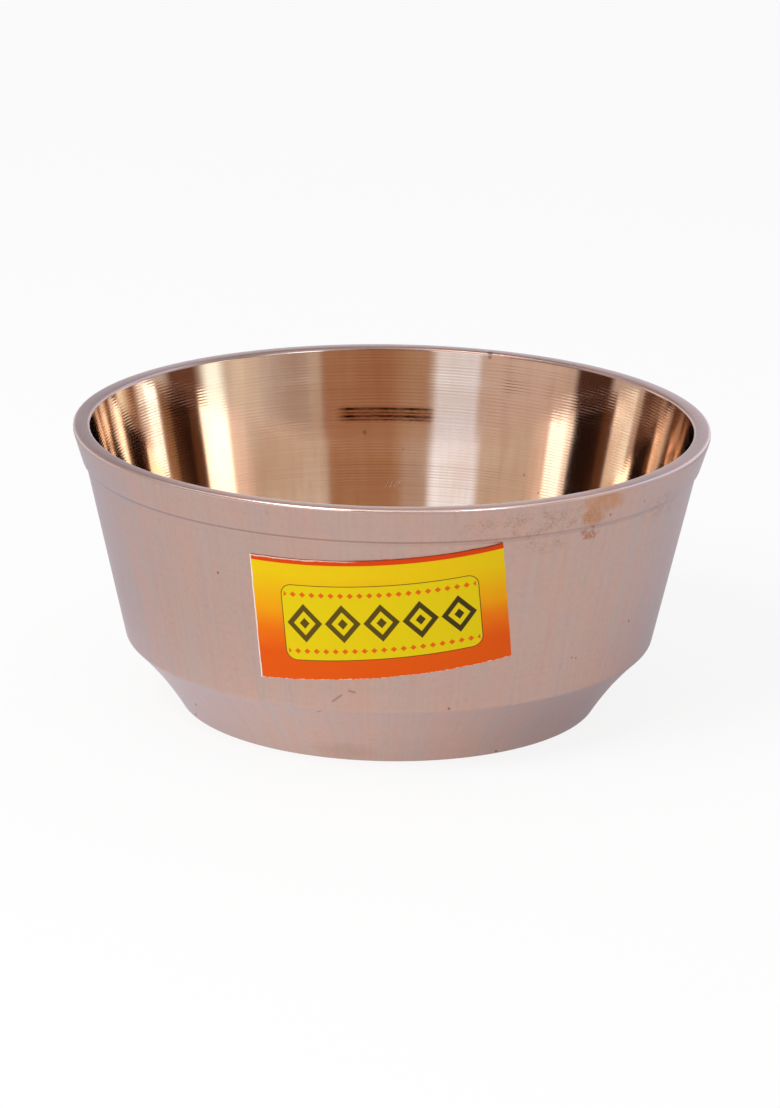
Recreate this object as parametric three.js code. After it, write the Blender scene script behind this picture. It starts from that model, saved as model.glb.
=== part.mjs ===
// A turned bronze bowl with a paper label stuck round the front of its wall.
// The bowl is one casting: a raised hoop under the rim, a straight tapering wall, a rounded shoulder,
// a coved foot and a shallow recess underneath that leaves a ring to stand on.
// Millimetres and degrees, +Z up. The origin is the centre of the foot, and the label faces -Y.

import * as THREE from 'three';

// Overall size
const rimDiameter = 127;
const bowlHeight = 57;

// Wall: its lean from upright, its thickness, and the shoulder where it turns in to the foot
const wallLean = 12.5;
const wallThickness = 2.3;
const shoulderHeight = 13.9;
const shoulderRounding = 1.2;

// Raised hoop under the rim, leaning from its foot up to a narrow upright land
const hoopHeight = 6.7;
const hoopSpread = 1.8;
const hoopLand = 0.9;
const hoopStep = 0.75;
const hoopUndercut = 1;
const rimOuterRounding = 0.45;
const rimInnerRounding = 0.6;

// Foot: a cove runs from the shoulder down to the ring that the bowl stands on
const footDiameter = 84;
const coveDepth = 0.6;
const footRounding = 0.8;
const footRingWidth = 5.5;
const recessDepth = 0.9;
const recessRounding = 1.5;

// Inside: a heel that follows the foot, and a flat floor
const floorThickness = 3.6;
const heelThickness = 3.2;
const heelRounding = 28;
const floorRounding = 17;

// Paper label, a flat rectangle bent round the wall without stretching, its high corner just under the hoop
const labelWidth = 49.3;
const labelHeight = 25.9;
const labelThickness = 0.15;
const labelGlue = 0.05;
const labelClearance = 0.2;
const labelTurn = -1.65;
const labelTilt = 5.6;

// Fineness: how far a facet may stand off the true curve, and the widest turn between two facets
const flatness = 0.03;
const widestTurn = 30;
const coveSteps = 6;
const labelRows = 2;

const radians = THREE.MathUtils.degToRad;
const at = (r, z) => new THREE.Vector2(r, z);
const turnStep = (radius) => 2 * Math.acos(1 - Math.min(flatness / radius, 1));

// Where two straight lines cross, each given by a point and a direction
function crossing(point, direction, otherPoint, otherDirection) {
  const gap = otherPoint.clone().sub(point);
  return point.clone().addScaledVector(direction, gap.cross(otherDirection) / direction.cross(otherDirection));
}

// A corner rounded by an arc that meets both of its sides, kept within half of the shorter side
function roundedCorner(before, corner, after, radius) {
  const toBefore = before.clone().sub(corner);
  const toAfter = after.clone().sub(corner);
  const room = Math.min(toBefore.length(), toAfter.length()) / 2;
  toBefore.normalize();
  toAfter.normalize();
  const halfAngle = Math.acos(toBefore.dot(toAfter)) / 2;
  const tangent = Math.min(radius / Math.tan(halfAngle), room);
  const fitted = tangent * Math.tan(halfAngle);
  const inward = toBefore.clone().add(toAfter).normalize();
  const centre = corner.clone().addScaledVector(inward, fitted / Math.sin(halfAngle));
  const start = corner.clone().addScaledVector(toBefore, tangent);
  const turn = (Math.PI - 2 * halfAngle) * Math.sign(toAfter.cross(toBefore));
  const steps = Math.max(2, Math.ceil(Math.abs(turn) / Math.min(turnStep(fitted), radians(widestTurn))));
  return Array.from({ length: steps + 1 }, (_, i) => start.clone().rotateAround(centre, (turn * i) / steps));
}

// A turned outline from its corners: each [point, radius] is rounded, and a bare point stays sharp
function turnedOutline(corners) {
  const points = corners.map((corner) => corner[0] ?? corner);
  return corners.flatMap((corner, i) =>
    corner[1] ? roundedCorner(points[i - 1], points[i], points[i + 1], corner[1]) : [points[i]]);
}

// Points along a shallow hollow curve between two ends, its middle standing off their chord by depth
function hollowCurve(from, to, depth, steps) {
  const chord = to.clone().sub(from);
  const inward = at(-chord.y, chord.x).normalize();
  return Array.from({ length: steps - 1 }, (_, i) => {
    const t = (i + 1) / steps;
    return from.clone().addScaledVector(chord, t).addScaledVector(inward, 4 * depth * t * (1 - t));
  });
}

// Places that the inside, the outside and the label share
const rimRadius = rimDiameter / 2;
const wallSlope = Math.tan(radians(wallLean));
const hoopFoot = at(rimRadius - hoopSpread, bowlHeight - hoopHeight);
const wallTop = at(hoopFoot.x - hoopStep, hoopFoot.y - hoopUndercut);
const wallRadiusAt = (z) => wallTop.x - (wallTop.y - z) * wallSlope;
const shoulder = at(wallRadiusAt(shoulderHeight), shoulderHeight);
const footEdge = at(footDiameter / 2, 0);

// From the recess underneath, up the outside, to the rim's outer edge
function outsideCorners() {
  const ringInner = at(footEdge.x - footRingWidth, 0);
  return [
    at(0, recessDepth),
    [at(ringInner.x - recessDepth, recessDepth), recessRounding],
    ringInner,
    [footEdge, footRounding],
    ...hollowCurve(footEdge, shoulder, coveDepth, coveSteps),
    [shoulder, shoulderRounding],
    wallTop,
    hoopFoot,
    at(rimRadius, bowlHeight - hoopLand),
    [at(rimRadius, bowlHeight), rimOuterRounding],
  ];
}

// From the rim's inner edge down to the floor, one thickness in from the wall and another from the foot
function insideCorners() {
  const wallDirection = at(wallSlope, 1).normalize();
  const footDirection = shoulder.clone().sub(footEdge).normalize();
  const level = at(1, 0);
  const inwardFrom = (point, direction, distance) =>
    point.clone().add(at(-direction.y, direction.x).multiplyScalar(distance));
  const innerWall = inwardFrom(wallTop, wallDirection, wallThickness);
  const innerHeel = inwardFrom(footEdge, footDirection, heelThickness);
  return [
    [crossing(innerWall, wallDirection, at(0, bowlHeight), level), rimInnerRounding],
    [crossing(innerWall, wallDirection, innerHeel, footDirection), heelRounding],
    [crossing(innerHeel, footDirection, at(0, floorThickness), level), floorRounding],
    at(0, floorThickness),
  ];
}

// A whole number of quarter turns keeps the widest points on the X and Y axes
function bowlGeometry() {
  const outline = turnedOutline([...outsideCorners(), ...insideCorners()]);
  const stepsAround = 4 * Math.ceil(Math.PI / 2 / turnStep(rimRadius));
  return new THREE.LatheGeometry(outline, stepsAround).rotateX(Math.PI / 2);
}

// The label starts as a thin flat box. Rolled out flat, the wall is part of a disc round the wall's apex,
// so each point of the box keeps its reach from that apex and its place along the arc.
function labelGeometry() {
  const lean = radians(wallLean);
  const topReach = wallTop.x / Math.sin(lean);
  const highCorner = at(labelWidth / 2, labelHeight / 2).rotateAround(at(0, 0), radians(labelTilt));
  const centreReach = Math.sqrt((topReach - labelClearance) ** 2 - highCorner.x ** 2) - highCorner.y;
  const columns = Math.ceil(labelWidth / (centreReach * Math.sin(lean)) / turnStep(rimRadius));
  const geometry = new THREE.BoxGeometry(labelWidth, labelHeight, labelThickness, columns, labelRows, 1);
  geometry.rotateZ(radians(labelTilt));
  const place = geometry.attributes.position;
  for (let i = 0; i < place.count; i += 1) {
    const reach = Math.hypot(place.getX(i), centreReach + place.getY(i));
    const azimuth = Math.atan2(place.getX(i), centreReach + place.getY(i)) / Math.sin(lean) + radians(labelTurn);
    const standOff = flatness + labelGlue + labelThickness / 2 + place.getZ(i);
    const radius = reach * Math.sin(lean) + standOff * Math.cos(lean);
    const z = wallTop.y + (reach - topReach) * Math.cos(lean) - standOff * Math.sin(lean);
    place.setXYZ(i, radius * Math.sin(azimuth), -radius * Math.cos(azimuth), z);
  }
  geometry.computeVertexNormals();
  return geometry;
}

function named(name, geometry, finish) {
  const mesh = new THREE.Mesh(geometry, new THREE.MeshStandardMaterial(finish));
  mesh.name = name;
  return mesh;
}

const bronzeBowl = new THREE.Group();
bronzeBowl.name = 'bronze_bowl';
bronzeBowl.add(
  named('bowl', bowlGeometry(), { color: 0xc09c84, roughness: 0.34, metalness: 1 }),
  named('label', labelGeometry(), { color: 0xeebe14, roughness: 0.6, metalness: 0 }),
);

export default bronzeBowl;
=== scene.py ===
import math
import random

import bmesh
import bpy
from mathutils import Matrix, Vector, noise


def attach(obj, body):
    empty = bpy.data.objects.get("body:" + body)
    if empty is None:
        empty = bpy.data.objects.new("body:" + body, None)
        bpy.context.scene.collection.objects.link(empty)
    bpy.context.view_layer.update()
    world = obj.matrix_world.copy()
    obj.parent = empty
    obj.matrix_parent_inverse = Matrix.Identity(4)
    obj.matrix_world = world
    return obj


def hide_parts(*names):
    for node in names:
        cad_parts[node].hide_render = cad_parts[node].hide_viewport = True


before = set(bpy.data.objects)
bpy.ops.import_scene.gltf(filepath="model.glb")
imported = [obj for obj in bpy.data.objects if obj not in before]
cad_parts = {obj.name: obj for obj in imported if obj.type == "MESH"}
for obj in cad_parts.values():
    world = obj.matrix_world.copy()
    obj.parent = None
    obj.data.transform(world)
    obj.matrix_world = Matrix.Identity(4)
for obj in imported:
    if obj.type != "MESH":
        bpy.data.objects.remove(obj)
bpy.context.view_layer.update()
millimetre = 0.001


class Wire:
    # A shader socket that Python sums can be written with. node() adds a node of any other kind.
    def __init__(self, tree, socket=None):
        self.tree = tree
        self.socket = socket

    def node(self, kind, settings=None, sockets=None, output=0):
        made = self.tree.nodes.new("ShaderNode" + kind)
        for name, value in (settings or {}).items():
            if name == "stops":
                setStops(made.color_ramp, value)
            else:
                setattr(made, name, value)
        plugIn(self.tree, made, sockets or {})
        return Wire(self.tree, made.outputs[output])

    def also(self, output):
        return Wire(self.tree, self.socket.node.outputs[output])

    def maths(self, operation, *others):
        return self.node("Math", {"operation": operation}, dict(enumerate((self, *others))))

    def step(self, low, high):
        return self.node("MapRange", {"interpolation_type": "SMOOTHSTEP"},
                         {"Value": self, "From Min": low, "From Max": high})

    def __add__(self, other):
        return self.maths("ADD", other)

    def __sub__(self, other):
        return self.maths("SUBTRACT", other)

    def __rsub__(self, other):
        return self.node("Math", {"operation": "SUBTRACT"}, {0: other, 1: self})

    def __mul__(self, other):
        return self.maths("MULTIPLY", other)

    def __truediv__(self, other):
        return self.maths("DIVIDE", other)

    __radd__ = __add__
    __rmul__ = __mul__


def plugIn(tree, node, sockets):
    for name, value in sockets.items():
        if isinstance(value, Wire):
            tree.links.new(value.socket, node.inputs[name])
        else:
            node.inputs[name].default_value = value


def setStops(ramp, stops):
    while len(ramp.elements) < len(stops):
        ramp.elements.new(1.0)
    for element, (position, colour) in zip(ramp.elements, stops):
        element.position = position
        element.color = (*colour, 1.0)


def opaque(colour):
    return (*colour, 1.0)


def mixColours(first, second, amount, how="MIX"):
    # either colour, or the amount, may be a plain value
    wires = [part for part in (first, second, amount) if isinstance(part, Wire)]
    return wires[0].node("Mix", {"data_type": "RGBA", "blend_type": how, "clamp_factor": True},
                         {0: amount, 6: first if isinstance(first, Wire) else opaque(first),
                          7: second if isinstance(second, Wire) else opaque(second)}, output=2)


def newFinish(name):
    material = bpy.data.materials.new(name)
    material.use_nodes = True
    tree = material.node_tree
    return material, Wire(tree), tree.nodes["Principled BSDF"]


def addPiece(name, shape, node, finishes):
    mesh = bpy.data.meshes.new(name)
    shape.to_mesh(mesh)
    shape.free()
    piece = bpy.data.objects.new(name, mesh)
    bpy.context.scene.collection.objects.link(piece)
    for finish in finishes:
        mesh.materials.append(finish)
    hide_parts(node)
    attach(piece, "root")
    return piece


# The casting

casting = {
    # radius, height and rounding of each corner, from the middle of the recess underneath round to the floor
    "corners": [
        (0, 0.9, 0), (35.6, 0.9, 1.5), (36.5, 0, 0.15), (42, 0, 0.4), (53.102, 13.9, 1.2),
        (60.95, 49.3, 0.5), (61.7, 50.3, 0.35), (63.5, 56.1, 0.5), (63.5, 57, 0.45),
        (60.301, 57, 0.6), (51.415, 16.916, 28), (40.78, 3.6, 17), (0, 3.6, 0),
    ],
    "coveFrom": 3,
    "coveDepth": 0.6,
    "coveSteps": 14,
    "arcStep": 0.16,
    "wallStep": 0.15,
    "floorStep": 0.36,
    # the tool's ridges: they start at this height outside, and run over the rim and down the inside
    "ridgesFrom": 40,
    # their spacing at first and further on, and the distance at which it changes
    "ridgePitch": 0.73,
    "lowerPitch": 0.62,
    "pitchChange": 17,
    "wallLean": 12.5,
    "rimHeight": 57,
    "ridgeSpread": (0.6, 1.05),
    "stepsAround": 108,
    "sharpAngle": 34,
    # long stretches within this radius and above this height get close points, wider apart below floorTop
    "closeRadius": 60.31,
    "closeHeight": 3.5,
    "floorTop": 4,
    "shortestSplit": 0.5,
    # faces are polished between these heights and within this radius, where they look inward or upward
    "polishedHeights": (3, 56.6),
    "polishedRadius": 60.5,
    "leastInward": 0.02,
    "leastUpward": 0.5,
    "mergeDistance": 0.0005,
    "seed": 11,
}

# Ridges left by the tool: millimetres along the outline from where they start, and their height there
ridgeHeights = [
    (0, 0.0050), (3, 0.0045), (4.5, 0.0030), (6, 0.0020), (8, 0.0030), (11, 0.0048), (13, 0.0056),
    (15, 0.0054), (16, 0.0026), (19, 0.0020), (21, 0.0020), (24, 0.0040), (26, 0.0052), (28, 0.0050),
    (30, 0.0025), (34, 0.0020), (48, 0.0020), (98, 0.0008),
]


def between(table, place):
    for (low, lowValue), (high, highValue) in zip(table, table[1:]):
        if place <= high:
            share = (place - low) / (high - low)
            return lowValue + share * (highValue - lowValue)
    return table[-1][1]


def chainFrom(start):
    # the outline's vertices in order
    chain = [start]
    edge = start.link_edges[0]
    while edge:
        chain.append(edge.other_vert(chain[-1]))
        further = [link for link in chain[-1].link_edges if link is not edge]
        edge = further[0] if further else None
    return chain


def edgeBetween(first, second):
    return next(edge for edge in first.link_edges if edge.other_vert(first) is second)


def vertexAt(shape, place):
    return min(shape.verts, key=lambda vertex: (vertex.co - place).length)


def makeOutline():
    shape = bmesh.new()
    corners = casting["corners"]
    points = [shape.verts.new((radius, 0, height)) for radius, height, rounding in corners]
    for first, second in zip(points, points[1:]):
        shape.edges.new((first, second))
    places = [point.co.copy() for point in points]

    # the hollow of the foot
    low, high = places[casting["coveFrom"]], places[casting["coveFrom"] + 1]
    cove = edgeBetween(points[casting["coveFrom"]], points[casting["coveFrom"] + 1])
    split = bmesh.ops.subdivide_edges(shape, edges=[cove], cuts=casting["coveSteps"] - 1)
    chord = high - low
    inward = Vector((-chord.z, 0, chord.x)).normalized()
    for vertex in {item for item in split["geom_inner"] if isinstance(item, bmesh.types.BMVert)}:
        share = (vertex.co - low).dot(chord) / chord.length_squared
        vertex.co += inward * 4 * casting["coveDepth"] * share * (1 - share)

    # rounded corners
    for place, (radius, height, rounding) in zip(places, corners):
        if not rounding:
            continue
        corner = vertexAt(shape, place)
        arms = [(edge.other_vert(corner).co - corner.co) for edge in corner.link_edges]
        turn = math.pi - arms[0].angle(arms[1])
        reach = min(rounding * math.tan(turn / 2), 0.49 * min(arm.length for arm in arms))
        steps = max(4, round(rounding * turn / casting["arcStep"]))
        bmesh.ops.bevel(shape, geom=[corner], offset=reach, offset_type="OFFSET", affect="VERTICES",
                        segments=steps, profile=0.5, material=-1, clamp_overlap=False)

    # close points for the ridges: on the wall, outside and inside, and on the floor
    chain = [vertex.co.copy() for vertex in chainFrom(vertexAt(shape, places[0]))]
    for firstPlace, secondPlace in zip(chain, chain[1:]):
        first, second = vertexAt(shape, firstPlace), vertexAt(shape, secondPlace)
        length = (first.co - second.co).length
        isClose = first.co.z > casting["closeHeight"] and first.co.x < casting["closeRadius"]
        if isClose and length > casting["shortestSplit"]:
            step = casting["floorStep"] if first.co.z < casting["floorTop"] else casting["wallStep"]
            bmesh.ops.subdivide_edges(shape, edges=[edgeBetween(first, second)], cuts=round(length / step) - 1)
    return shape


def cutRidges(shape):
    random.seed(casting["seed"])
    chain = chainFrom(vertexAt(shape, Vector((0, 0, casting["corners"][0][1]))))
    start = next(i for i, vertex in enumerate(chain)
                 if vertex.co.x < casting["closeRadius"] and vertex.co.z > casting["ridgesFrom"])
    travelled = phase = 0.0
    lastRidge = -1
    moves = []
    for before, vertex, after in zip(chain[start - 1:], chain[start:], chain[start + 1:]):
        step = (vertex.co - before.co).length
        travelled += step
        phase += step / casting["ridgePitch" if travelled < casting["pitchChange"] else "lowerPitch"]
        if int(phase) != lastRidge:
            strength = random.uniform(*casting["ridgeSpread"])
            lastRidge = int(phase)
        along = (after.co - before.co).normalized()
        outward = Vector((along.z, 0, -along.x))
        height = between(ridgeHeights, travelled) * strength
        moves.append((vertex, outward * height * math.cos(2 * math.pi * phase)))
    for vertex, move in moves:
        vertex.co += move


def makeCasting(finishes):
    shape = makeOutline()
    cutRidges(shape)
    bmesh.ops.spin(shape, geom=shape.verts[:] + shape.edges[:], cent=(0, 0, 0), axis=(0, 0, 1), dvec=(0, 0, 0),
                   angle=2 * math.pi, steps=casting["stepsAround"], use_merge=True)
    bmesh.ops.remove_doubles(shape, verts=shape.verts, dist=casting["mergeDistance"])
    bmesh.ops.recalc_face_normals(shape, faces=shape.faces)
    low, high = casting["polishedHeights"]
    for face in shape.faces:
        face.smooth = True
        middle = face.calc_center_median()
        radius = math.hypot(middle.x, middle.y)
        inward = -(face.normal.x * middle.x + face.normal.y * middle.y) / max(radius, 0.001)
        isWithin = low < middle.z < high and radius < casting["polishedRadius"]
        looksIn = inward > casting["leastInward"] or face.normal.z > casting["leastUpward"]
        face.material_index = 0 if isWithin and looksIn else 1
    bmesh.ops.scale(shape, vec=(millimetre,) * 3, verts=shape.verts)
    piece = addPiece("bowl_casting", shape, "bowl", finishes)
    piece.data.set_sharp_from_angle(angle=math.radians(casting["sharpAngle"]))
    return piece


def turnedPlace(wire):
    # azimuth from the front (right is plus), radius, height, and a place that follows the turning marks
    spot = wire.node("TexCoord", output="Object")
    axes = wire.node("SeparateXYZ", sockets={0: spot})
    across, back, height = axes / millimetre, axes.also("Y") / millimetre, axes.also("Z") / millimetre
    radius = (across * across + back * back).maths("SQRT").maths("MAXIMUM", 0.01)
    azimuth = across.maths("ARCTAN2", back * -1)
    return {"spot": spot, "across": across, "back": back, "height": height, "radius": radius,
            "azimuth": azimuth, "arc": azimuth * radius}


def spotNoise(place, scale, detail):
    # the same in every direction
    return place["spot"].node("TexNoise", sockets={"Vector": place["spot"], "Scale": scale, "Detail": detail})


def drawnNoise(place, around, travel, detail):
    radius = place["radius"]
    vector = radius.node("CombineXYZ", sockets={
        0: place["across"] / radius * around, 1: place["back"] / radius * around, 2: travel})
    return vector.node("TexNoise", sockets={"Vector": vector, "Scale": 1.0, "Detail": detail})


def turnedNoise(place, around, along, detail):
    # drawn out round the axis: a few changes around, many along the outline
    return drawnNoise(place, around, (place["radius"] + place["height"]) * along, detail)


def uprightNoise(place, around, along, detail):
    # drawn out up the wall: many changes around, a few up it
    return drawnNoise(place, around, place["height"] * along, detail)


def ellipse(face, arc, height, halfWidth, halfHeight):
    # 1 in the middle of an ellipse on the rolled-out surface, 0 outside it
    away = face.node("VectorMath", {"operation": "SUBTRACT"}, {0: face, 1: (arc, height, 0)})
    away = away.node("VectorMath", {"operation": "DIVIDE"}, {0: away, 1: (halfWidth, halfHeight, 1)})
    return away.node("VectorMath", {"operation": "LENGTH"}, {0: away}, output="Value").step(1.0, 0.25)


def blotch(face, speckle, place, low, high):
    # an ellipse whose edge and middle are broken up by the noise
    inside = ellipse(face, *place)
    return (inside * 0.8 + speckle - 0.5).step(low, high) * inside.step(0.0, 0.25)


def scratch(arc, height, start, angle, length, width):
    # a straight line on the rolled-out surface, from its lower left end
    cosine, sine = math.cos(math.radians(angle)), math.sin(math.radians(angle))
    right, above = arc - start[0], height - start[1]
    along = right * cosine + above * sine
    beside = (above * cosine - right * sine).maths("ABSOLUTE")
    return beside.step(width, width * 0.3) * along.step(0, length * 0.2) * along.step(length, length * 0.8)


def strongest(masks):
    first, *others = masks
    for mask in others:
        first = first.maths("MAXIMUM", mask)
    return first


def knock(place, degrees, reach, half):
    # a small round dent in the flat rim
    turn = math.radians(degrees)
    middle = Vector((reach * math.sin(turn), -reach * math.cos(turn), casting["rimHeight"])) * millimetre
    away = place["spot"].node("VectorMath", {"operation": "DISTANCE"}, {0: place["spot"], 1: middle},
                              output="Value")
    return away.step(half * millimetre, half * millimetre * 0.4)


polish = {
    "deep": (0.84, 0.63, 0.48),
    "pale": (0.91, 0.74, 0.60),
    # the groove colour and the groove depth below are painted shade
    "grooveShade": (0.60, 0.40, 0.28),
    "streak": (0.90, 0.85, 0.82),
    "grooveShadeDepth": 0.18,
    # where the painted groove shade is darkest: millimetres down from the rim, how far to either side, and how
    # much more
    "darkGrooveShade": [(6.0, 7.0, 0.2), (12.6, 4.0, 0.4), (26.6, 3.6, 0.5)],
    # degrees either side of the back between which the painted groove shade is clearest, right is plus
    "clearGrooveShade": (-14.0, 24.0),
    "soot": (0.030, 0.008, 0.003),
    "haze": (0.44, 0.19, 0.09),
    # the lines: height, half width, and how dark
    "sootLines": [(44.3, 0.36, 1.0), (43.5, 0.22, 0.75), (42.75, 0.38, 1.0), (42.0, 0.24, 0.7)],
    "sootBand": (43.2, 2.2),
    # degrees from the back between which the soot fades in at its left end and out at its right end
    "sootEnds": [(-12.5, -9.5), (9.5, 7.5)],
    # where the soot is darkest: degrees from the back, right is plus, and how far to either side
    "sootPatches": [(-1.3, 3.0), (4.4, 2.6), (-9.0, 2.5)],
    # small dark spots: arc from the middle of the back, height, radius
    "spots": [(-5.8, 39.4, 0.6), (29.4, 33.0, 0.4), (33.0, 29.9, 0.35), (2.5, 36.0, 0.3), (20.9, 56.2, 0.7)],
    # scratches: lower left end, angle, length, width
    "scratches": [((-1.4, 27.6), 64, 1.9, 0.13), ((-0.5, 27.7), 63, 2.0, 0.15), ((0.5, 27.7), 63, 2.1, 0.15),
                  ((1.4, 28.2), 64, 1.5, 0.12)],
    "scratched": (0.90, 0.72, 0.66),
    "roughness": 0.062,
}


def polishedFinish():
    material, wire, shader = newFinish("polishedBronze")
    place = turnedPlace(wire)
    rings = turnedNoise(place, 1.5, 2.2, 2)
    clouds = spotNoise(place, 45.0, 3.0)
    streaks = turnedNoise(place, 20, 0.04, 3)
    colour = mixColours(polish["deep"], polish["pale"], (rings * 0.3 + clouds * 0.7).step(0.35, 0.65))
    # the streaks fade out towards the floor
    upTheWall = place["height"].step(6, 18)
    colour = mixColours(colour, polish["streak"], streaks.step(0.4, 0.7) * upTheWall * 0.5, "MULTIPLY")

    # painted shade: level grooves at the tool's spacing, a little darker and duller, counted from the rim down;
    # their dark stands in for the light and shade on the tool's ridges
    travel = (casting["rimHeight"] - place["height"]) / math.cos(math.radians(casting["wallLean"]))
    turns = travel.maths("MINIMUM", casting["pitchChange"]) / casting["ridgePitch"]
    turns = turns + (travel - casting["pitchChange"]).maths("MAXIMUM", 0) / casting["lowerPitch"]
    shadedGrooves = (turns * (2 * math.pi)).maths("COSINE").step(-0.4, 0.9) * place["height"].step(16, 24)
    shadedGrooves = shadedGrooves * (turnedNoise(place, 1.2, 0.9, 2).step(0.25, 0.75) * 0.7 + 0.3)
    turn = place["across"].maths("ARCTAN2", place["back"]) * math.degrees(1)
    left, right = polish["clearGrooveShade"]
    shadedGrooves = shadedGrooves * (turn.step(left - 3, left + 3) * turn.step(right + 3, right - 3) * 0.6 + 0.4)
    depth = polish["grooveShadeDepth"]
    for middle, half, more in polish["darkGrooveShade"]:
        depth = (travel - middle).maths("ABSOLUTE").step(half, half * 0.4) * more + depth
    shadedGrooves = shadedGrooves * depth
    colour = mixColours(colour, polish["grooveShade"], shadedGrooves)

    # soot: four fine lines and a haze round them
    soot = strongest([(place["height"] - height).maths("ABSOLUTE").step(half, half * 0.3) * strength
                      for height, half, strength in polish["sootLines"]])
    patches = strongest([(turn - middle).maths("ABSOLUTE").step(half, 0)
                         for middle, half in polish["sootPatches"]])
    mottle = turnedNoise(place, 14, 1.2, 2).step(0.3, 0.62)
    leftEnd, rightEnd = polish["sootEnds"]
    ends = turn.step(*leftEnd) * turn.step(*rightEnd)
    smuts = turnedNoise(place, 60, 2.0, 3).step(0.38, 0.6)
    soot = soot * (mottle * 0.25 + patches * 0.35 + 0.5) * (smuts * 0.2 + 0.8) * ends
    middle, half = polish["sootBand"]
    haze = (place["height"] - middle).maths("ABSOLUTE").step(half, half * 0.4) * ends * (smuts * 0.25 + 0.45)
    colour = mixColours(mixColours(colour, polish["haze"], haze), polish["soot"], soot)

    # spots and scratches at the back
    backArc = turn * place["radius"] * math.radians(1)
    backFace = wire.node("CombineXYZ", sockets={0: backArc, 1: place["height"]})
    spots = strongest([ellipse(backFace, arc, height, half, half) for arc, height, half in polish["spots"]])
    colour = mixColours(colour, polish["soot"], spots * 0.4)
    scratches = strongest([scratch(backArc, place["height"], *line) for line in polish["scratches"]])
    scratches = scratches * place["back"].step(0, 10)
    colour = mixColours(colour, polish["scratched"], scratches * 0.8)
    bump = wire.node("Bump", sockets={"Strength": 0.1, "Distance": 0.00001, "Height": scratches * -1})
    plugIn(wire.tree, shader, {
        "Base Color": colour, "Metallic": 1.0,
        "Roughness": shadedGrooves * 0.14 + polish["roughness"] + soot * 0.05 + scratches * 0.25,
        "Normal": bump, "Anisotropic": 0.6, "Anisotropic Rotation": 0.25})
    return material


satin = {
    "pink": (0.593, 0.383, 0.320),
    "grey": (0.545, 0.402, 0.360),
    "grazing": (0.78, 0.86, 1.0, 1.0),
    # the next is painted shade, for the corner under the hoop, the crease under the rim and the knocks
    "paintedShade": (0.13, 0.06, 0.05),
    "stain": (1.0, 0.71, 0.42),
    "rust": (0.82, 0.50, 0.34),
    "speckle": (0.84, 0.76, 0.64),
    # the next is a painted highlight on the rim's outer edge
    "edgeHighlight": (0.86, 0.66, 0.60),
    # the next is a painted highlight on the rim's front
    "rimHighlight": (0.84, 0.58, 0.47),
    "mark": (0.20, 0.105, 0.07),
    # these multiply the colour under them
    "ring": (0.95, 0.95, 0.95),
    "brushed": (0.92, 0.90, 0.90),
    "grain": (0.90, 0.90, 0.91),
    # the next is painted shade on the rim's left
    "rimShade": (0.80, 0.78, 0.78),
    "hatched": (0.78, 0.74, 0.68),
    # the next is painted shade on the rim's inner edge
    "innerEdgeShade": (0.62, 0.58, 0.56),
    "roughness": 0.36,
    "rubbed": 0.15,
    # dark marks: arc and height in millimetres, radius
    "marks": [(-34.6, 40.0, 0.42), (11.8, 14.4, 0.42), (22.3, 0.6, 0.5), (38.4, 21.8, 0.3), (39.5, 21.5, 0.3),
              (55.5, 25.7, 0.45), (-44.6, 5.5, 0.5), (-46.9, 1.4, 0.6), (41.6, 50.0, 0.4), (45.8, 51.8, 0.4),
              (55.6, 52.6, 0.35)],
    "scratches": [((-10.9, 15.4), 42, 3.2, 0.32), ((-7.8, 18.3), -12, 1.9, 0.36),
                  ((-13.8, 12.7), 24, 1.2, 0.24)],
    # stained patches: arc, height, half width, half height
    "stains": [(43.8, 55.0, 8.4, 3.4), (41.4, 52.6, 4.4, 3.4)],
    "rustSpecks": (41.0, 48.6, 5.2, 3.2),
    "speckles": [(28.0, 52.4, 24.0, 4.6), (30.5, 47.8, 7.0, 2.8), (63.0, 49.5, 12.0, 4.5)],
    "chatter": (-8.0, 2.3, 8.5, 2.8),
    "chatterPitch": 0.48,
    # small knocks on the rim: degrees from the front, radius, size
    "knocks": [(160.2, 60.6, 0.8), (141.6, 61.2, 0.4), (144.0, 61.0, 0.25), (14.0, 60.7, 0.35),
               (19.5, 60.7, 0.5)],
}


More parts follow.
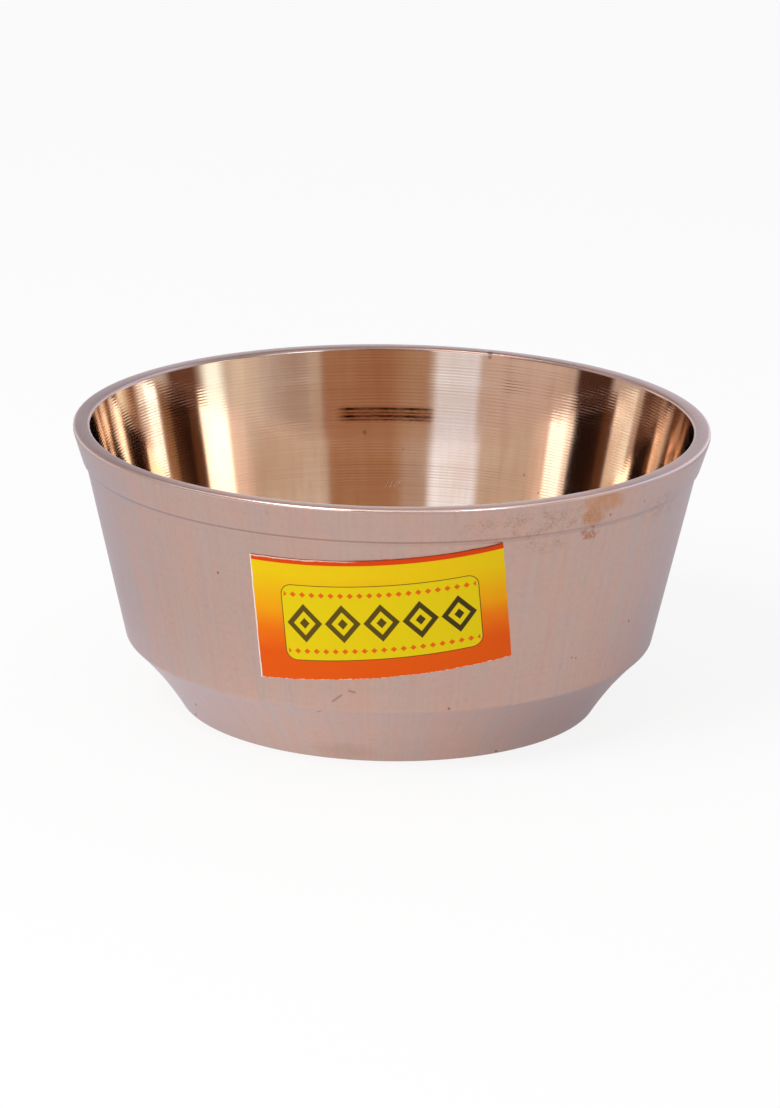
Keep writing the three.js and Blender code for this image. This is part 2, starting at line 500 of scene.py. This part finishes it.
def satinFinish():
    material, wire, shader = newFinish("satinBronze")
    place = turnedPlace(wire)
    height, radius, azimuth = place["height"], place["radius"], place["azimuth"]
    face = wire.node("CombineXYZ", sockets={0: place["arc"], 1: height})
    streaks = uprightNoise(place, 16, 0.03, 3.0)
    brushing = uprightNoise(place, 75, 0.05, 2.0)
    clouds = spotNoise(place, 90.0, 4.0)
    blotches = spotNoise(place, 420.0, 4.0)
    grains = spotNoise(place, 1100.0, 3.0)
    specks = spotNoise(place, 2400.0, 2.0)
    rings = turnedNoise(place, 1.5, 1.3, 3)
    mottle = streaks * 0.5 + brushing * 0.13 + clouds * 0.32 + (blotches - 0.5) * 0.2
    colour = mixColours(satin["pink"], satin["grey"], mottle.step(0.32, 0.64))
    colour = mixColours(colour, satin["ring"], rings.step(0.35, 0.7) * 0.3, "MULTIPLY")
    colour = mixColours(colour, satin["brushed"], brushing.step(0.4, 0.7) * 0.35, "MULTIPLY")
    colour = mixColours(colour, satin["grain"], grains.step(0.38, 0.66) * 0.3, "MULTIPLY")

    # painted shade: a dark line in the corner under the hoop, fading to the right, and in the crease under the
    # rim there
    shadeFade = azimuth.step(math.radians(50), math.radians(0)) * 0.34 + 0.06
    shadeUnderHoop = (height - 50.2).maths("ABSOLUTE").step(0.3, 0.08) * shadeFade
    onTheRight = azimuth.step(math.radians(58), math.radians(66))
    creaseShade = (height - 56.2).maths("ABSOLUTE").step(0.22, 0.05) * onTheRight
    colour = mixColours(colour, satin["paintedShade"], shadeUnderHoop.maths("MAXIMUM", creaseShade * 0.22))

    # the left of the flat rim is painted a little darker, a painted shade, and its front a little paler, a
    # painted highlight
    flatRim = height.step(56.5, 56.9)
    leftRimShade = flatRim * (azimuth + math.radians(80)).maths("ABSOLUTE").step(0.95, 0.35)
    colour = mixColours(colour, satin["rimShade"], leftRimShade, "MULTIPLY")
    colour = mixColours(colour, satin["rimHighlight"], flatRim * azimuth.maths("ABSOLUTE").step(0.9, 0.4) * 0.5)

    # stains, specks of rust and the speckled part of the hoop
    stains = strongest([blotch(face, blotches, stain, 0.05, 0.95) for stain in satin["stains"]])
    colour = mixColours(colour, satin["stain"], stains * (specks * 0.9 + 0.35), "MULTIPLY")
    rust = blotch(face, specks, satin["rustSpecks"], 0.62, 0.8) * blotches.step(0.36, 0.56)
    colour = mixColours(colour, satin["rust"], rust, "MULTIPLY")
    speckled = strongest([ellipse(face, *patch) for patch in satin["speckles"]])
    speckled = speckled * (specks.step(0.5, 0.64) * blotches.step(0.3, 0.6) + blotches.step(0.45, 0.7) * 0.4)
    speckled = speckled.maths("MAXIMUM", grains.step(0.66, 0.74) * 0.3)
    colour = mixColours(colour, satin["speckle"], speckled, "MULTIPLY")

    # chatter on the foot: fine upright hatching
    halfPitch = satin["chatterPitch"] / 2
    hatch = (place["arc"] + height * 0.2).maths("PINGPONG", halfPitch) / halfPitch
    chatter = ellipse(face, *satin["chatter"]) * hatch
    colour = mixColours(colour, satin["hatched"], chatter * 0.8, "MULTIPLY")

    # dark marks, scratches and knocks, none of them underneath
    marks = strongest([ellipse(face, arc, level, half, half) for arc, level, half in satin["marks"]]
                      + [scratch(place["arc"], height, *line) * 0.6 for line in satin["scratches"]])
    marks = marks * radius.step(40.8, 41.3)
    knocks = strongest([knock(place, *dent) for dent in satin["knocks"]])
    colour = mixColours(colour, satin["mark"], marks * 0.62 * height.step(0.05, 0.15))
    # the knocks are darkened with painted shade, as in a hollow
    colour = mixColours(colour, satin["paintedShade"], knocks * 0.8)

    # the rim's inner edge is darkened with painted shade, and its outer edge made paler with a painted
    # highlight and partly rubbed smooth, as the ring underneath is
    inner = radius.step(60.95, 60.8) * height.step(56.3, 56.5) * azimuth.maths("COSINE").step(-0.6, -0.85)
    colour = mixColours(colour, satin["innerEdgeShade"], inner, "MULTIPLY")
    edge = radius.step(62.95, 63.1) * height.step(56.4, 56.6)
    colour = mixColours(colour, satin["edgeHighlight"], edge * 0.4)
    gap = (azimuth - 0.06).maths("ABSOLUTE").step(0.08, 0.18)
    rubbed = edge * azimuth.maths("ABSOLUTE").step(0.75, 0.55) * gap
    rubbed = rubbed.maths("MAXIMUM", height.step(0.15, 0.02))
    fine = turnedNoise(place, 4, 6, 2)
    relief = fine * 0.5 + clouds * 0.5 + grains * 0.3 + chatter * 0.5 - marks * 1.5 - knocks * 4
    bump = wire.node("Bump", sockets={"Strength": 0.35, "Distance": 0.00004, "Height": relief})
    rough = clouds * 0.1 + (satin["roughness"] - 0.05) + marks * 0.3 + stains * 0.1
    rough = rough - rubbed * (satin["roughness"] - satin["rubbed"])
    plugIn(wire.tree, shader, {"Base Color": colour, "Metallic": 1.0, "Roughness": rough, "Normal": bump,
                               "Specular Tint": satin["grazing"]})
    return material


makeCasting([polishedFinish(), satinFinish()])
print("casting made")


# The label

label = {
    "width": 49.3,
    "height": 25.9,
    "thickness": 0.15,
    "glue": 0.08,
    "turn": -1.65,
    "tilt": 5.6,
    "columns": 84,
    "rows": 44,
    "wallLean": 12.5,
    "wallTop": (60.95, 49.3),
    "clearance": 0.2,
    # how far hand cutting moved each corner: left to right, bottom to top
    "cornerMoves": {(0, 0): (-0.16, 0.0), (1, 0): (-0.04, 0.66), (0, 1): (0.27, 0.8), (1, 1): (0.06, 0.0)},
    "bottomBow": 0.6,
    "raggedness": 0.09,
}


def cutEdges(vertex, flat):
    # hand cutting: moved corners, a bowed lower edge and slightly ragged sides
    across, up = flat
    move = Vector((0, 0))
    for (right, top), shift in label["cornerMoves"].items():
        share = (across if right else 1 - across) * (up if top else 1 - up)
        move += share * Vector(shift)
    move.y += label["bottomBow"] * 4 * across * (1 - across) * (1 - up) ** 2
    ragged = noise.noise(Vector((across * 23, up * 14, 5.3))) * label["raggedness"]
    if across in (0, 1):
        move.x += ragged
    if up in (0, 1):
        move.y += ragged
    vertex.co.x += move.x
    vertex.co.y += move.y


def makeLabel(finishes):
    shape = bmesh.new()
    flatMap = shape.loops.layers.uv.new("flat")
    bmesh.ops.create_grid(shape, x_segments=label["columns"], y_segments=label["rows"], size=0.5)
    flats = {vertex: (round(vertex.co.x + 0.5, 6), round(vertex.co.y + 0.5, 6)) for vertex in shape.verts}
    for face in shape.faces:
        face.smooth = True
        for corner in face.loops:
            corner[flatMap].uv = flats[corner.vert]
    bmesh.ops.scale(shape, vec=(label["width"], label["height"], 1), verts=shape.verts)
    for vertex, flat in flats.items():
        cutEdges(vertex, flat)
    bmesh.ops.rotate(shape, verts=shape.verts, matrix=Matrix.Rotation(math.radians(label["tilt"]), 3, "Z"))

    # bent round the wall: each point keeps its reach from the wall's apex and its place along the arc
    lean = math.radians(label["wallLean"])
    topRadius, topHeight = label["wallTop"]
    topReach = topRadius / math.sin(lean)
    tilt = Matrix.Rotation(math.radians(label["tilt"]), 2)
    highCorner = tilt @ Vector((label["width"] / 2, label["height"] / 2))
    centreReach = math.sqrt((topReach - label["clearance"]) ** 2 - highCorner.x ** 2) - highCorner.y
    for vertex in shape.verts:
        reach = math.hypot(vertex.co.x, centreReach + vertex.co.y)
        azimuth = math.atan2(vertex.co.x, centreReach + vertex.co.y) / math.sin(lean)
        azimuth += math.radians(label["turn"])
        radius = reach * math.sin(lean) + label["glue"] * math.cos(lean)
        height = topHeight + (reach - topReach) * math.cos(lean) - label["glue"] * math.sin(lean)
        vertex.co = (radius * math.sin(azimuth), -radius * math.cos(azimuth), height)
    bmesh.ops.recalc_face_normals(shape, faces=shape.faces)
    if sum(face.normal.y for face in shape.faces) > 0:
        bmesh.ops.reverse_faces(shape, faces=shape.faces)
    bmesh.ops.solidify(shape, geom=shape.faces[:], thickness=-label["thickness"])
    bmesh.ops.scale(shape, vec=(millimetre,) * 3, verts=shape.verts)
    piece = addPiece("label_paper", shape, "label", finishes)
    piece.data.set_sharp_from_angle(angle=math.radians(40))
    return piece


paper = {
    "yellow": (0.80, 0.54, 0.004),
    "amber": (0.84, 0.34, 0.004),
    "orange": (0.82, 0.17, 0.004),
    "red": (0.75, 0.095, 0.004),
    "line": (0.68, 0.055, 0.004),
    "bare": (0.84, 0.74, 0.68),
    "torn": (0.82, 0.55, 0.45),
    "panel": (0.76, 0.57, 0.004),
    "ink": (0.075, 0.045, 0.008),
    "darkInk": (0.018, 0.010, 0.008),
    "bead": (0.74, 0.13, 0.006),
    # the panel's centre, half width, half height and corner rounding, and the ornament in it, in millimetres
    "centre": (24.9, 12.4),
    "half": (19.0, 8.1),
    "rounding": 2.2,
    "outline": 0.08,
    "diamondStep": 7.4,
    "diamond": (3.55, 4.3),
    "beadStep": 1.85,
    "beadRow": 6.1,
}


def printedFinish():
    material, wire, shader = newFinish("printedPaper")
    flat = wire.node("UVMap", {"uv_map": "flat"})
    axes = wire.node("SeparateXYZ", sockets={0: flat})
    across, up = axes, axes.also("Y")
    fibres = wire.node("TexNoise", sockets={"Vector": flat, "Scale": 60.0, "Detail": 3.0})
    clouds = wire.node("TexNoise", sockets={"Vector": flat, "Scale": 5.0, "Detail": 2.0})
    drift = up + (clouds - 0.5) * 0.12 + (across - 0.5) * 0.04
    colour = wire.node("ValToRGB", {"stops": [
        (0.0, paper["red"]), (0.22, paper["red"]), (0.4, paper["orange"]), (0.58, paper["amber"]),
        (0.86, paper["yellow"])]}, {0: drift})

    # a rounded panel with a fine outline
    right = across * label["width"] - paper["centre"][0]
    above = up * label["height"] - paper["centre"][1]
    beyondX = (right.maths("ABSOLUTE") - (paper["half"][0] - paper["rounding"])).maths("MAXIMUM", 0.0)
    beyondY = (above.maths("ABSOLUTE") - (paper["half"][1] - paper["rounding"])).maths("MAXIMUM", 0.0)
    outside = (beyondX * beyondX + beyondY * beyondY).maths("SQRT") - paper["rounding"]
    colour = mixColours(colour, paper["panel"], outside.step(0.06, -0.06))
    outline = outside.maths("ABSOLUTE").step(paper["outline"] + 0.05, paper["outline"] - 0.05)

    # a row of open diamonds, and a row of beads above and below it
    rowEnd = paper["diamondStep"] * 2.5
    inPanel = right.maths("ABSOLUTE").step(rowEnd + 0.05, rowEnd - 0.05)
    along = right.maths("ABSOLUTE").maths("PINGPONG", paper["diamondStep"] / 2)
    diamond = along / paper["diamond"][0] + above.maths("ABSOLUTE") / paper["diamond"][1]
    stroke = diamond.step(1.0, 0.95) * diamond.step(0.58, 0.63) + diamond.step(0.30, 0.25)
    ink = outline.maths("MAXIMUM", stroke * inPanel)
    inkColour = mixColours(paper["ink"], paper["darkInk"], across.step(0.35, 0.8))
    colour = mixColours(colour, inkColour, ink * 0.95)
    beadAlong = right.maths("ABSOLUTE").maths("PINGPONG", paper["beadStep"] / 2)
    beadAbove = (above.maths("ABSOLUTE") - paper["beadRow"]).maths("ABSOLUTE")
    bead = (beadAlong + beadAbove).step(0.68, 0.56) * inPanel
    colour = mixColours(colour, paper["bead"], bead)

    # the line along the top, and bare paper where the cut missed the print
    colour = mixColours(colour, paper["line"], up.step(0.960, 0.966))
    missedTop = (up + (fibres - 0.5) * 0.012 + (clouds - 0.5) * 0.03).step(0.991, 0.996)
    missedTop = missedTop * across.step(0.45, 0.35)
    missedLeft = (across + (fibres - 0.5) * 0.004 + (clouds - 0.5) * 0.008).step(0.0060, 0.0035)
    missedBottom = (up + (fibres - 0.5) * 0.03).step(0.004, 0.0)
    colour = mixColours(colour, paper["torn"], missedTop.maths("MAXIMUM", missedBottom))
    colour = mixColours(colour, paper["bare"], missedLeft)
    bump = wire.node("Bump", sockets={"Strength": 0.2, "Distance": 0.00003, "Height": fibres + clouds * 2})
    plugIn(wire.tree, shader, {"Base Color": colour, "Roughness": 0.5 + fibres * 0.1, "Normal": bump,
                               "Specular IOR Level": 0.08})
    return material


makeLabel([printedFinish()])
print("label made")


# The studio

studio = {
    "floor": (0.90, 0.90, 0.90),
    "floorWhite": 0.85,
    "floorShine": 0.5,
    # close round the foot the mirrored floor glows brighter, a painted pool of light, most of all on the left
    "nearFloor": (0.095, 0.055),
    "leftFloor": (0.05, -0.03),
    "nearShine": (-0.12, 0.36),
    "mirroredFar": (0.90, 0.90, 0.90),
    "mirroredNear": (1.12, 1.10, 1.07),
    "floorSize": 3.0,
    "plain": (0.66, 0.66, 0.66),
    "low": (0.53, 0.43, 0.39),
    "middle": (0.58, 0.56, 0.60),
    "top": (0.95, 0.95, 0.95),
    # the elevations between which the light changes from low to middle, and from middle to top
    "middleFrom": (8, 16),
    "topFrom": (36, 50),
    # what the metal mirrors: azimuth from the camera's direction (left is plus) and elevation in degrees,
    # the light, and how soft the upright and the level edges are
    "panels": [
        # the pale wall in front, and behind the bowl
        ((-60, 62), (19, 46), (1.10, 1.12, 1.25), (16, 4)),
        ((118, 200), (-8, 21), (1.57, 1.62, 1.64), (8, 3)),
        ((-200, -118), (-8, 21), (1.57, 1.62, 1.64), (8, 3)),
        # low down, from right to left
        ((-70, -55), (-6, 12), (0.74, 0.62, 0.52), (7, 2)),
        ((-46, -25), (-6, 12), (0.42, 0.31, 0.26), (7, 2)),
        ((36, 74), (-6, 12), (0.62, 0.48, 0.43), (4, 2)),
        ((-34, -28), (-6, 12), (0.50, 0.38, 0.31), (1.5, 2)),
        ((-28, 14), (-6, 17), (0.25, 0.115, 0.065), (2, 3)),
        ((-28, 14), (-6, 12), (0.42, 0.21, 0.125), (2, 8)),
        ((3, 15), (-6, 15), (0.45, 0.29, 0.20), (6, 3)),
        ((18, 34), (-6, 13), (1.08, 1.14, 1.35), (2.5, 3)),
        ((18, 34), (-6, 12), (0.70, 0.72, 0.84), (2.5, 6)),
        ((-79.5, -71), (-6, 14), (1.25, 1.40, 1.35), (3, 2)),
        ((-98, -82), (-6, 8.5), (0.14, 0.06, 0.035), (3, 1)),
        ((77, 95), (-6, 8.5), (0.07, 0.03, 0.02), (2, 1)),
        ((64, 90), (9, 12), (0.10, 0.05, 0.035), (3, 1)),
        # the dark gap between the two soft boxes, and its edges
        ((45, 68), (10.4, 15), (0.10, 0.045, 0.025), (3, 0.8)),
        ((45, 60), (12, 15), (0.11, 0.045, 0.03), (2, 1)),
        ((-25, 15), (17.5, 54), (0.010, 0.003, 0.002), (1.5, 1.5)),
        ((-25, -15), (12, 18.5), (0.40, 0.26, 0.15), (2, 1)),
        ((-14, 13), (16, 19.2), (0.12, 0.055, 0.028), (2, 1)),
        ((4, 14), (19, 24), (0.13, 0.06, 0.03), (2, 1.5)),
        # the left soft box and what shows under it, and the right soft box
        ((16, 37), (13, 16.8), (1.45, 1.80, 2.05), (2.5, 1.6)),
        ((16, 41), (16.5, 20), (0.85, 0.80, 0.75), (2, 1)),
        ((16, 41), (20, 44), (3.2, 3.2, 3.4), (2, 1.5)),
        ((-51, -33), (13.8, 15.2), (2.6, 3.3, 4.0), (2.5, 1.2)),
        ((-42, -28), (15.2, 20), (2.8, 3.6, 4.3), (2, 1)),
        ((-39, -30.5), (19, 26), (1.70, 2.20, 2.70), (2.5, 1.5)),
        ((-46, -22), (26.5, 44), (3.8, 4.8, 5.8), (2, 1.5)),
        ((-64, -55), (11, 16), (0.20, 0.09, 0.05), (2, 1)),
        ((-76, -67), (9.8, 14), (1.25, 1.40, 1.35), (2, 1)),
        # high at the back
        ((60, 125), (22, 46), (0.72, 0.75, 0.80), (8, 4)),
        ((-125, -62), (22, 46), (0.72, 0.75, 0.80), (8, 4)),
        ((-148, -108), (22, 46), (1.30, 1.75, 2.60), (4, 4)),
        ((-148, -108), (16, 30), (0.76, 1.02, 1.50), (4, 8)),
        ((127.5, 200), (22, 46), (0.48, 0.32, 0.23), (3, 4)),
        ((127.5, 200), (16, 30), (0.32, 0.215, 0.15), (3, 8)),
        ((-200, -172), (22, 46), (0.52, 0.38, 0.30), (5, 4)),
        ((-200, -172), (16, 30), (0.38, 0.28, 0.22), (5, 8)),
        # the lamp overhead on the left
        ((28, 80), (56, 74), (9.0, 9.0, 9.0), (4, 4)),
    ],
    # one soft lamp from the left gives the floor its shadow
    "lamp": {"azimuth": 42, "elevation": 46, "distance": 1.1, "size": 0.55, "power": 6.0},
}


def makeFloor():
    shape = bmesh.new()
    bmesh.ops.create_circle(shape, cap_ends=True, segments=96, radius=studio["floorSize"])
    mesh = bpy.data.meshes.new("studio_floor")
    shape.to_mesh(mesh)
    shape.free()
    floor = bpy.data.objects.new("studio_floor", mesh)
    bpy.context.scene.collection.objects.link(floor)
    material, wire, shader = newFinish("paleFloor")
    rays = wire.node("LightPath")
    shown = (rays.also("Is Camera Ray") + rays.also("Is Transmission Ray")) * studio["floorWhite"]
    spot = wire.node("TexCoord", output="Object")
    reach = spot.node("VectorMath", {"operation": "LENGTH"}, {0: spot}, output="Value")
    near = reach.step(*studio["nearFloor"])
    left = wire.node("SeparateXYZ", sockets={0: spot}).step(*studio["leftFloor"])
    base, rise = studio["nearShine"]
    mirrored = rays.also("Is Glossy Ray")
    shown = shown + mirrored * (studio["floorShine"] + near * (left * rise + base))
    plugIn(wire.tree, shader, {"Base Color": opaque(studio["floor"]), "Roughness": 0.9,
                               "Specular IOR Level": 0.0})
    reflection = mixColours(studio["mirroredFar"], studio["mirroredNear"], near * left)
    glow = mixColours((1, 1, 1), reflection, mirrored)
    glow = wire.node("Emission", sockets={"Color": glow, "Strength": 1.0})
    surface = wire.node("MixShader", sockets={0: shown, 2: glow})
    wire.tree.links.new(shader.outputs[0], surface.socket.node.inputs[1])
    wire.tree.links.new(surface.socket, wire.tree.nodes["Material Output"].inputs["Surface"])
    mesh.materials.append(material)


def within(angle, low, high, soft):
    return angle.step(low - soft, low + soft) * angle.step(high + soft, high - soft)


def makeWorld():
    world = bpy.data.worlds.new("studio")
    bpy.context.scene.world = world
    world.use_nodes = True
    tree = world.node_tree
    wire = Wire(tree)
    axes = wire.node("SeparateXYZ", sockets={0: wire.node("TexCoord", output="Object")})
    azimuth = (axes * -1).maths("ARCTAN2", axes.also("Y") * -1) * math.degrees(1)
    elevation = axes.also("Z").maths("ARCSINE") * math.degrees(1)
    light = mixColours(studio["low"], studio["middle"], elevation.step(*studio["middleFrom"]))
    light = mixColours(light, studio["top"], elevation.step(*studio["topFrom"]))
    for sides, ends, glow, (softSides, softEnds) in studio["panels"]:
        light = mixColours(light, glow, within(azimuth, *sides, softSides) * within(elevation, *ends, softEnds))
    rays = wire.node("LightPath")
    light = mixColours(studio["plain"], light, rays.also("Is Glossy Ray"))
    isShown = rays.also("Is Camera Ray").maths("MAXIMUM", rays.also("Is Transmission Ray"))
    light = mixColours(light, (1, 1, 1), isShown)
    plugIn(tree, tree.nodes["Background"], {"Color": light, "Strength": 1.0})


def makeLamp():
    lamp = studio["lamp"]
    data = bpy.data.lights.new("left_lamp", "AREA")
    data.size = lamp["size"]
    data.energy = lamp["power"]
    light = bpy.data.objects.new("left_lamp", data)
    bpy.context.scene.collection.objects.link(light)
    azimuth, elevation = math.radians(lamp["azimuth"]), math.radians(lamp["elevation"])
    away = Vector((-math.sin(azimuth) * math.cos(elevation), -math.cos(azimuth) * math.cos(elevation),
                   math.sin(elevation)))
    aim = away.to_track_quat("Z", "Y").to_matrix().to_4x4()
    light.matrix_world = Matrix.Translation(away * lamp["distance"]) @ aim
    light.visible_camera = False
    light.visible_glossy = False


makeFloor()
makeWorld()
makeLamp()
print("studio made")


# The camera

view = {
    "elevation": 15.13,
    # from the middle of the mouth, at this height
    "distance": 895.4,
    "target": 57.0,
    # degrees that the camera looks below the middle of the mouth
    "dip": 1.69,
    "roll": 0.88,
    "lens": 145.8,
    "sensor": 36.0,
}


def makeCamera():
    data = bpy.data.cameras.new("camera")
    data.lens = view["lens"]
    data.sensor_width = view["sensor"]
    camera = bpy.data.objects.new("camera", data)
    bpy.context.scene.collection.objects.link(camera)
    tilt = math.radians(view["elevation"])
    away = view["distance"] * millimetre
    eye = Vector((0, -away * math.cos(tilt), view["target"] * millimetre + away * math.sin(tilt)))
    down = math.radians(90 - view["elevation"] - view["dip"])
    turn = Matrix.Rotation(down, 4, "X") @ Matrix.Rotation(math.radians(view["roll"]), 4, "Z")
    camera.matrix_world = Matrix.Translation(eye) @ turn
    bpy.context.scene.camera = camera


makeCamera()
bpy.context.scene.view_settings.view_transform = "Standard"
print("camera set")
